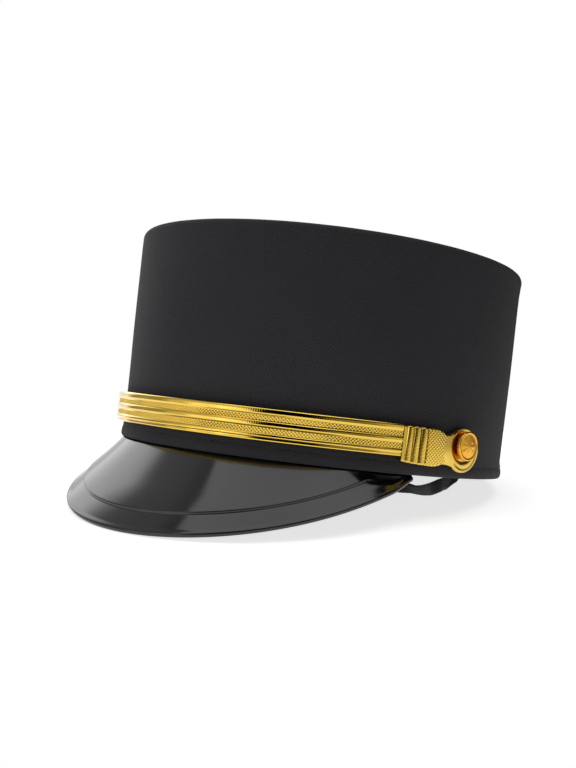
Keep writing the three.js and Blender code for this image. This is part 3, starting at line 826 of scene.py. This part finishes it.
class CAP_OT_band(bpy.types.Operator):
    """Makes the gold front band from one knurled length of it, repeated and curved round the crown"""
    bl_idname = "conductor_cap.band"
    bl_label = "Front band"

    def execute(self, context):
        size = sizes()
        middle = (size.band_low + size.band_high) / 2 / MM
        route, length = route_round(math.degrees(size.band_end_angle), 240, size.band_stand_off / MM,
                                    middle)
        count = round(length / size.knurl_pitch)
        pitch = length / count
        piece = self.one_pitch(pitch)
        repeat(piece, count, pitch, 2e-5)
        self.cap_ends(piece, length)
        write_map(piece, "flat", lambda corner, middle: (corner.x, size.band_high - corner.z))
        bend_along(piece, "band_route", route[::6], 24)
        bpy.ops.object.shade_smooth_by_angle(angle=math.radians(28))
        move_mesh(piece, TO_TABLE)
        ticks = {"pitch": 0.001, "direction": "X", "axis": "Y", "width": size.band_high - size.band_low,
                 "stops": BAND_TICKS}
        dress(piece, metallised_gold("metallised_gold", ticks, (0.05, 0.1)), "gold_band", "front_strap")
        return {"FINISHED"}

    def one_pitch(self, pitch):
        """One pitch of the band, closed round its back and open at its two ends."""
        size = sizes()
        width = size.band_high - size.band_low
        outline = list(BAND_PROFILE)
        knurled = set()
        for (low, high), ribs in zip(KNURLS, (BAND_MIDDLE, BAND_LOWER)):
            for row in range(KNURL_ROWS):
                knurled.add(len(outline))
                outline.append((low + (high - low) * row / (KNURL_ROWS - 1), KNURL_LOW))
            outline += ribs
        outline += [*BAND_BACK, outline[0]]
        rows = len(outline) - 1

        def place(along, around):
            row, column = round(around * rows), round(along * 2)
            across, stands = outline[row]
            if row in knurled and (row + column) % 2 == 0:
                stands = KNURL_HIGH
            return Vector((column / 2 * pitch, -stands * MM, size.band_high - across * width))

        piece = grid_piece("front_band", 2, rows, place)
        mesh = bmesh.new()
        mesh.from_mesh(piece.data)
        bmesh.ops.remove_doubles(mesh, verts=mesh.verts, dist=1e-6)
        # Each knurled cell is creased between its two low corners, which leaves small pyramids.
        just_low, just_high = KNURL_LOW + 0.01, KNURL_HIGH - 0.01
        for face in list(mesh.faces):
            heights = sorted(-v.co.y / MM for v in face.verts)
            if len(heights) == 4 and heights[1] < just_low and heights[2] > just_high:
                low = [v for v in face.verts if -v.co.y / MM < just_low]
                bmesh.utils.face_split(face, low[0], low[1])
        mesh.to_mesh(piece.data)
        mesh.free()
        return piece

    def cap_ends(self, piece, length):
        """Closes the two open ends of the straight band."""
        for end in (0.0, length):
            start_edit(piece)
            select_where(piece, lambda co, at=end: abs(co.x - at) < 1e-5)
            bpy.ops.mesh.edge_face_add()
        finish_mesh(piece, 28)


def end_outline():
    """The band end's outline, with its round tab: degrees, lowest and highest height."""
    tab, radius = END["tab_angle"], END["tab_radius"]
    one_degree = (on_cap(tab + 0.5, 0, 0) - on_cap(tab - 0.5, 0, 0)).length / MM
    outline = list(END_OUTLINE)
    for step in range(25):
        turn = math.radians(129 + (7 - 129) * step / 24)
        half = radius * math.sin(turn)
        outline.append((tab + radius * math.cos(turn) / one_degree,
                        END["tab_height"] - half, END["tab_height"] + half))
    return outline, one_degree


def end_relief(angle, height, low, high, one_degree):
    """How far the band's end stands over its plate: ribs, scales, a hollow neck and a rimmed tab."""
    edge = min(height - low, high - height)
    rounded = math.sqrt(max(1 - (1 - min(edge / 0.8, 1)) ** 2, 0))
    across = (height - (low + high) / 2) / max((high - low) / 2, 0.1)
    relief = 0.1
    for start, end in RIB_SPANS:
        if start <= angle <= end:
            share = 2 * (angle - start) / (end - start) - 1
            rise = RIB["rise"] + RIB["top_rise"] * smooth_step(height, low + 2, high - 2.5)
            relief = RIB["valley"] + rise * max(1 - share * share, 0) ** 0.75
    if NECK["from"] < angle <= NECK["to"]:
        # The scales stop at a hollow arc, which bends towards them at the neck's middle.
        last = 74.9 - 1.5 * (1 - across * across)
        u = (angle - NECK["from"]) * one_degree / NECK["scale_pitch"]
        v = (height - NECK["height"]) / NECK["scale_pitch"]
        scale = abs(math.cos(math.pi * (u + v) / 1.4) * math.cos(math.pi * (u - v) / 1.4))
        fade = 1 - smooth_step(angle, last - 0.3, last)
        crown = 0.15 + 0.45 * (1 - across * across)
        depth = NECK["scale_depth"]
        relief = (0.05 + crown * (1 - 0.6 * smooth_step(angle, 72.5, 77))
                  + (depth * scale - depth / 2) * fade)
    from_tab = math.hypot((angle - END["tab_angle"]) * one_degree, height - END["tab_height"])
    from_button = math.hypot((angle - BUTTON["angle"]) * one_degree, height - BUTTON["height"])
    well = 1 - smooth_step(from_button, 6.9, 8.6)
    relief = relief * (1 - well) - END["tab_well"] * well
    if from_tab < END["tab_radius"] + 0.5 and angle > 77:
        rim = smooth_step(from_tab, END["tab_radius"] - 1.9, END["tab_radius"] - 0.9)
        relief += END["tab_rim"] * rim * smooth_step(angle, 77, 79)
    return relief * rounded - 1.1 * (1 - rounded)


class CAP_OT_band_ends(bpy.types.Operator):
    """Makes the two moulded ends of the band, with their ribs, scales, neck and round tab"""
    bl_idname = "conductor_cap.band_ends"
    bl_label = "Band ends"

    def execute(self, context):
        outline, one_degree = end_outline()
        first, last = outline[0][0], outline[-1][0]
        size = sizes()

        def edges(angle):
            for (a, low, high), (b, next_low, next_high) in zip(outline, outline[1:]):
                if angle <= b + 1e-9:
                    share = (angle - a) / max(b - a, 1e-9)
                    return low + (next_low - low) * share, high + (next_high - high) * share
            return outline[-1][1:]

        def face(side, front):
            def place(along, across):
                angle = first + (last - first) * along
                low, high = edges(angle)
                height = low + (high - low) * across
                stands = END["back"]
                if front:
                    stands = END["back"] + END["plate"] + end_relief(angle, height, low, high, one_degree)
                return on_cap(side * angle, stands, height)
            return place

        def flat(corner, middle):
            round_it = math.atan2(corner.x / size.crown_half_width, -corner.y / size.crown_half_length)
            return abs(math.degrees(round_it)) * one_degree * MM, corner.z

        ticks = {"pitch": 0.0006, "direction": "Y", "axis": "X", "width": 100 * one_degree * MM,
                 "stops": END_TICKS}
        for name, side in SIDES:
            piece = grid_piece(f"band_end_{name}", END["columns"], END["rows"], face(side, True))
            lining = grid_piece("lining", END["columns"], END["rows"], face(side, False))
            pick(piece)
            lining.select_set(True)
            bpy.ops.object.join()
            start_edit(piece)
            select_open_edges()
            bpy.ops.mesh.bridge_edge_loops()
            finish_mesh(piece, 35)
            write_map(piece, "flat", flat)
            move_mesh(piece, TO_TABLE)
            material = metallised_gold(f"satin_gold_{name}", ticks, (0.17, 0.28))
            dress(piece, material, "gold_band", f"strap_end_{name}")
        return {"FINISHED"}


class CAP_OT_buttons(bpy.types.Operator):
    """Makes the two side buttons, each with a low dome, a ring edge, its shank and its back plate"""
    bl_idname = "conductor_cap.buttons"
    bl_label = "Side buttons"

    def execute(self, context):
        material = lacquered_brass()
        radius = sizes().button_radius / MM
        seat = BUTTON["seat"]
        profile = [(r, BUTTON["inside"] + out) for r, out in BUTTON_PLATE]
        profile += [(BUTTON["shank"], 0.0), (BUTTON["shank"], seat), (BUTTON["shank"] + 0.6, seat)]
        profile += [(radius - inset, seat + out) for inset, out in BUTTON_DOME]
        for name, side in SIDES:
            piece = ring_piece(f"side_button_{name}", BUTTON["sides"], [(r, r, out) for r, out in profile])
            close_both_ends()
            finish_mesh(piece, 50)
            self.stamp(piece, radius, seat)
            place = on_cap(side * BUTTON["angle"], 0, BUTTON["height"])
            turn = facing(side * BUTTON["angle"]).to_track_quat("Z", "Y").to_matrix().to_4x4()
            move_mesh(piece, Matrix.Translation(place) @ turn)
            move_mesh(piece, TO_TABLE)
            dress(piece, material, "button_metal", f"button_{name}")
        return {"FINISHED"}

    def stamp(self, piece, radius, seat):
        """Presses a plain, worn rosette into the dome."""
        petals = sizes().button_petals
        for vertex in piece.data.vertices:
            place = vertex.co / MM
            across = math.hypot(place.x, place.y) / (radius - 1.3)
            if place.z < seat + 1.9 or across > 1:
                continue
            angle = math.atan2(place.y, place.x)
            petal = abs(math.cos(angle * petals / 2))
            shape = smooth_step(across, 0.15, 0.5) * (1 - smooth_step(across, 0.55 + 0.3 * petal, 0.98))
            heart = 1 - smooth_step(across, 0.1, 0.3)
            worn = noise.noise(Vector((place.x * 0.55, place.y * 0.55, 5)))
            worn += 0.5 * noise.noise(Vector((place.x * 1.3, place.y * 1.3, 9)))
            faded = 1 - smooth_step(across, 0.85, 1)
            vertex.co.z += (ROSETTE["petal"] * shape * (petal - 0.5) + ROSETTE["heart"] * heart
                            + ROSETTE["worn"] * worn * faded) * MM


class CAP_OT_hem_stitching(bpy.types.Operator):
    """Makes the machine stitches of the hem, one modelled and the rest repeated round the rim"""
    bl_idname = "conductor_cap.hem_stitching"
    bl_label = "Hem stitching"

    def execute(self, context):
        route, length = route_round(180, 360, HEM_SEAM["out"], HEM_SEAM["height"])
        count = round(length / sizes().stitch_pitch)
        piece = self.one_stitch()
        repeat(piece, count, length / count)
        bend_along(piece, "hem_route", route[::5], 12)
        move_mesh(piece, Matrix.Translation((0, 0, HEM_SEAM["height"] * MM)))
        move_mesh(piece, TO_TABLE)
        dress(piece, spun_thread(), "crown_cloth")
        return {"FINISHED"}

    def one_stitch(self):
        clear_selection()
        bpy.ops.mesh.primitive_circle_add(vertices=6, radius=1, fill_type="NOTHING",
                                          rotation=(0, math.pi / 2, 0))
        piece = bpy.context.object
        piece.name = piece.data.name = "hem_stitches"
        bpy.ops.object.transform_apply(location=False, rotation=True, scale=True)
        bpy.ops.object.mode_set(mode="EDIT")
        bpy.ops.mesh.select_all(action="SELECT")
        radius, _, out = STITCH[0]
        bpy.ops.transform.resize(value=(1, radius * MM, radius * MM), center_override=(0, 0, 0))
        bpy.ops.transform.translate(value=(STITCH_START * MM, out * MM, 0))
        for (r, x, y), (next_r, next_x, next_y) in zip(STITCH, STITCH[1:]):
            bpy.ops.mesh.extrude_region_move(
                TRANSFORM_OT_translate={"value": ((next_x - x) * MM, (next_y - y) * MM, 0)})
            bpy.ops.transform.resize(value=(1, next_r / r, next_r / r),
                                     center_override=(0, next_y * MM, 0))
        close_both_ends()
        finish_mesh(piece, 80)
        return piece


def between(a, b, low, high, at):
    """The point at a place on the way from a, at the low place, to b, at the high one."""
    return a * ((high - at) / (high - low)) + b * ((at - low) / (high - low))


def smooth_line(points, steps):
    """Points along a smooth line through the given ones, each with its place in their list."""
    ends = [2 * points[0] - points[1], *points, 2 * points[-1] - points[-2]]
    line = []
    for row in range(len(points) - 1):
        four = ends[row:row + 4]
        knots = [0.0]
        for a, b in zip(four, four[1:]):
            knots.append(knots[-1] + math.sqrt((b - a).length))
        for step in range(steps):
            at = knots[1] + (knots[2] - knots[1]) * step / steps
            level = four
            for spans in (((0, 1), (1, 2), (2, 3)), ((0, 2), (1, 3)), ((1, 2),)):
                level = [between(a, b, knots[low], knots[high], at)
                         for a, b, (low, high) in zip(level, level[1:], spans)]
            line.append((level[0], row + step / steps))
    line.append((points[-1], len(points) - 1.0))
    return line


class CAP_OT_chin_elastic(bpy.types.Operator):
    """Makes the flat chin elastic, which lies on the table from one button's plate to the other's"""
    bl_idname = "conductor_cap.chin_elastic"
    bl_label = "Chin elastic"

    def execute(self, context):
        half = [(Vector(row[:3]) * MM, row[3]) for row in ELASTIC_ROWS]
        rows = half + [(Vector((-p.x, p.y, p.z)), lean) for p, lean in reversed(half[:-1])]
        path = [p for p, _ in rows]
        line = smooth_line(path, 8)
        size = sizes()
        outline = self.outline(size.elastic_width / 2, size.elastic_thickness / 2)
        points, along, run = [], [], 0.0
        for step, (middle, place) in enumerate(line):
            row = min(int(place), len(rows) - 2)
            share = place - row
            lean = math.radians(rows[row][1] * (1 - share) + rows[row + 1][1] * share)
            before, after = line[max(step - 1, 0)][0], line[min(step + 1, len(line) - 1)][0]
            tangent = (after - before).normalized()
            if step:
                run += (middle - line[step - 1][0]).length
            side = 1 if middle.x >= 0 else -1
            forward = facing(side * BUTTON["angle"]).cross(UP) * -side
            forward = (TO_TABLE.to_3x3() @ forward).normalized()
            across = UP * math.cos(lean) + forward * math.sin(lean)
            across = (across - tangent * across.dot(tangent)).normalized()
            outward = tangent.cross(across).normalized()
            along.append(run)
            points.append([middle + across * a + outward * b for a, b in outline])
        piece = self.sweep(points, along, outline)
        dress(piece, woven_elastic(), "elastic_webbing", "chin_elastic")
        tuple(path[0])
        [tuple(p) for p in path]
        return {"FINISHED"}

    def outline(self, half_width, half_thickness):
        """The elastic's section: flat, with rounded edges."""
        edge = half_width - half_thickness
        outline = []
        for sign, first in ((1, 90), (-1, 270)):
            for step in range(5):
                turn = math.radians(first - 45 * step)
                outline.append((sign * edge + half_thickness * math.cos(turn),
                                half_thickness * math.sin(turn)))
            for share in (0.6, 0.2, -0.2, -0.6):
                outline.append((sign * edge * share, -sign * half_thickness))
        return outline

    def sweep(self, points, along, outline):
        """The elastic's mesh through its rings of points, closed at both ends, with its map in metres."""
        count = len(outline)
        mesh = bmesh.new()
        layer = mesh.loops.layers.uv.new("band")
        rings = [[mesh.verts.new(p) for p in ring] for ring in points]
        around = [0.0]
        for a, b in zip(outline, outline[1:] + outline[:1]):
            around.append(around[-1] + math.dist(a, b))
        for step in range(len(rings) - 1):
            for i in range(count):
                j = (i + 1) % count
                face = mesh.faces.new((rings[step][i], rings[step + 1][i], rings[step + 1][j],
                                       rings[step][j]))
                face.smooth = True
                spots = ((along[step], around[i]), (along[step + 1], around[i]),
                         (along[step + 1], around[i + 1]), (along[step], around[i + 1]))
                for loop, spot in zip(face.loops, spots):
                    loop[layer].uv = spot
        mesh.faces.new(rings[0])
        mesh.faces.new(list(reversed(rings[-1])))
        bmesh.ops.recalc_face_normals(mesh, faces=mesh.faces)
        data = bpy.data.meshes.new("chin_band")
        mesh.to_mesh(data)
        mesh.free()
        piece = bpy.data.objects.new("chin_band", data)
        bpy.context.scene.collection.objects.link(piece)
        return piece


# Studio

def surround(lights):
    """Soft light by direction, which the camera sees as plain white."""
    world = bpy.data.worlds.new("studio_surround")
    bpy.context.scene.world = world
    world.use_nodes = True
    tree = world.node_tree
    tree.nodes.clear()
    direction = add_node(tree, "TexCoord")["Generated"]
    split = add_node(tree, "SeparateXYZ", {}, {}, {"Vector": direction})
    level = add_node(tree, "CombineXYZ", {}, {}, {"X": split["X"], "Y": split["Y"]})[0]
    level = add_node(tree, "VectorMath", {"operation": "NORMALIZE"}, {}, {0: level})[0]
    total = add_node(tree, "Value")[0]
    total.default_value = 0.0
    for compass, half, low, high, bright in lights:
        turn = math.radians(compass)
        toward = add_node(tree, "VectorMath", {"operation": "DOT_PRODUCT"},
                          {1: (-math.sin(turn), math.cos(turn), 0)}, {0: level})["Value"]
        light = add_node(tree, "MapRange", {"interpolation_type": "SMOOTHSTEP"},
                         {"From Min": math.cos(math.radians(min(half + FADE_ROUND, 180))),
                          "From Max": math.cos(math.radians(half - FADE_ROUND)), "To Max": bright},
                         {"Value": toward})[0]
        for edge, fade in ((low, FADE_UPWARD), (high, -FADE_UPWARD)):
            edge = math.sin(math.radians(edge))
            within = add_node(tree, "MapRange", {"interpolation_type": "SMOOTHSTEP"},
                              {"From Min": edge - fade, "From Max": edge + fade},
                              {"Value": split["Z"]})[0]
            light = add_node(tree, "Math", {"operation": "MULTIPLY"}, {}, {0: light, 1: within})[0]
        total = add_node(tree, "Math", {"operation": "ADD"}, {}, {0: total, 1: light})[0]
    lit = add_node(tree, "Background", {}, {}, {"Strength": total})[0]
    seen = add_node(tree, "Background", {}, {"Color": (1, 1, 1, 1), "Strength": 1.0})[0]
    rays = add_node(tree, "LightPath")["Is Camera Ray"]
    mixed = add_node(tree, "MixShader", {}, {}, {0: rays, 1: lit, 2: seen})[0]
    add_node(tree, "OutputWorld", {}, {}, {"Surface": mixed})


class CAP_OT_studio(bpy.types.Operator):
    """Adds the white table, the soft lights and the white surround"""
    bl_idname = "conductor_cap.studio"
    bl_label = "Studio"

    def execute(self, context):
        clear_selection()
        bpy.ops.mesh.primitive_circle_add(vertices=128, radius=TABLE_RADIUS, fill_type="NGON")
        floor = context.object
        floor.name = floor.data.name = "white_table"
        material, tree = new_finish("white_table")
        close_finish(tree, {"Base Color": linear(colours().floor), "Roughness": 0.9,
                            "Specular IOR Level": 0.1, "Emission Color": (1, 1, 1, 1),
                            "Emission Strength": 0.74}, {})
        floor.data.materials.append(material)
        surround(LIGHTS_ROUND)
        # The flat light over the cap, whose left edge shows as the straight edge in the peak's gloss.
        data = bpy.data.lights.new("overhead_softbox", "AREA")
        data.shape = "RECTANGLE"
        data.size, data.size_y = SOFTBOX["size"]
        data.energy = math.pi * data.size * data.size_y * SOFTBOX["brightness"]
        lamp = bpy.data.objects.new("overhead_softbox", data)
        lamp.location = SOFTBOX["at"]
        context.scene.collection.objects.link(lamp)
        context.scene.view_settings.view_transform = "Standard"
        return {"FINISHED"}


OPERATORS = (
    CAP_OT_camera, CAP_OT_chin_elastic, CAP_OT_crown_side, CAP_OT_crown_top, CAP_OT_visor, CAP_OT_band,
    CAP_OT_band_ends, CAP_OT_buttons, CAP_OT_hem_stitching, CAP_OT_studio,
)


class CAP_PT_pieces(bpy.types.Panel):
    bl_idname = "CAP_PT_pieces"
    bl_label = "Railroad conductor cap"
    bl_space_type = "VIEW_3D"
    bl_region_type = "UI"
    bl_category = "Cap"

    def draw(self, context):
        for group in (context.scene.cap_sizes, context.scene.cap_colours):
            box = self.layout.box()
            for name in group.__annotations__:
                box.prop(group, name)
        for operator in OPERATORS:
            self.layout.operator(operator.bl_idname)


CLASSES = (CapSizes, CapColours, *OPERATORS, CAP_PT_pieces)


def register():
    for item in CLASSES:
        bpy.utils.register_class(item)
    bpy.types.Scene.cap_sizes = PointerProperty(type=CapSizes)
    bpy.types.Scene.cap_colours = PointerProperty(type=CapColours)


def unregister():
    del bpy.types.Scene.cap_colours
    del bpy.types.Scene.cap_sizes
    for item in reversed(CLASSES):
        bpy.utils.unregister_class(item)


def main():
    register()
    for operator in OPERATORS:
        group, name = operator.bl_idname.split(".")
        if getattr(getattr(bpy.ops, group), name)() != {"FINISHED"}:
            raise RuntimeError(operator.bl_label + " did not finish")


if __name__ == "__main__":
    main()
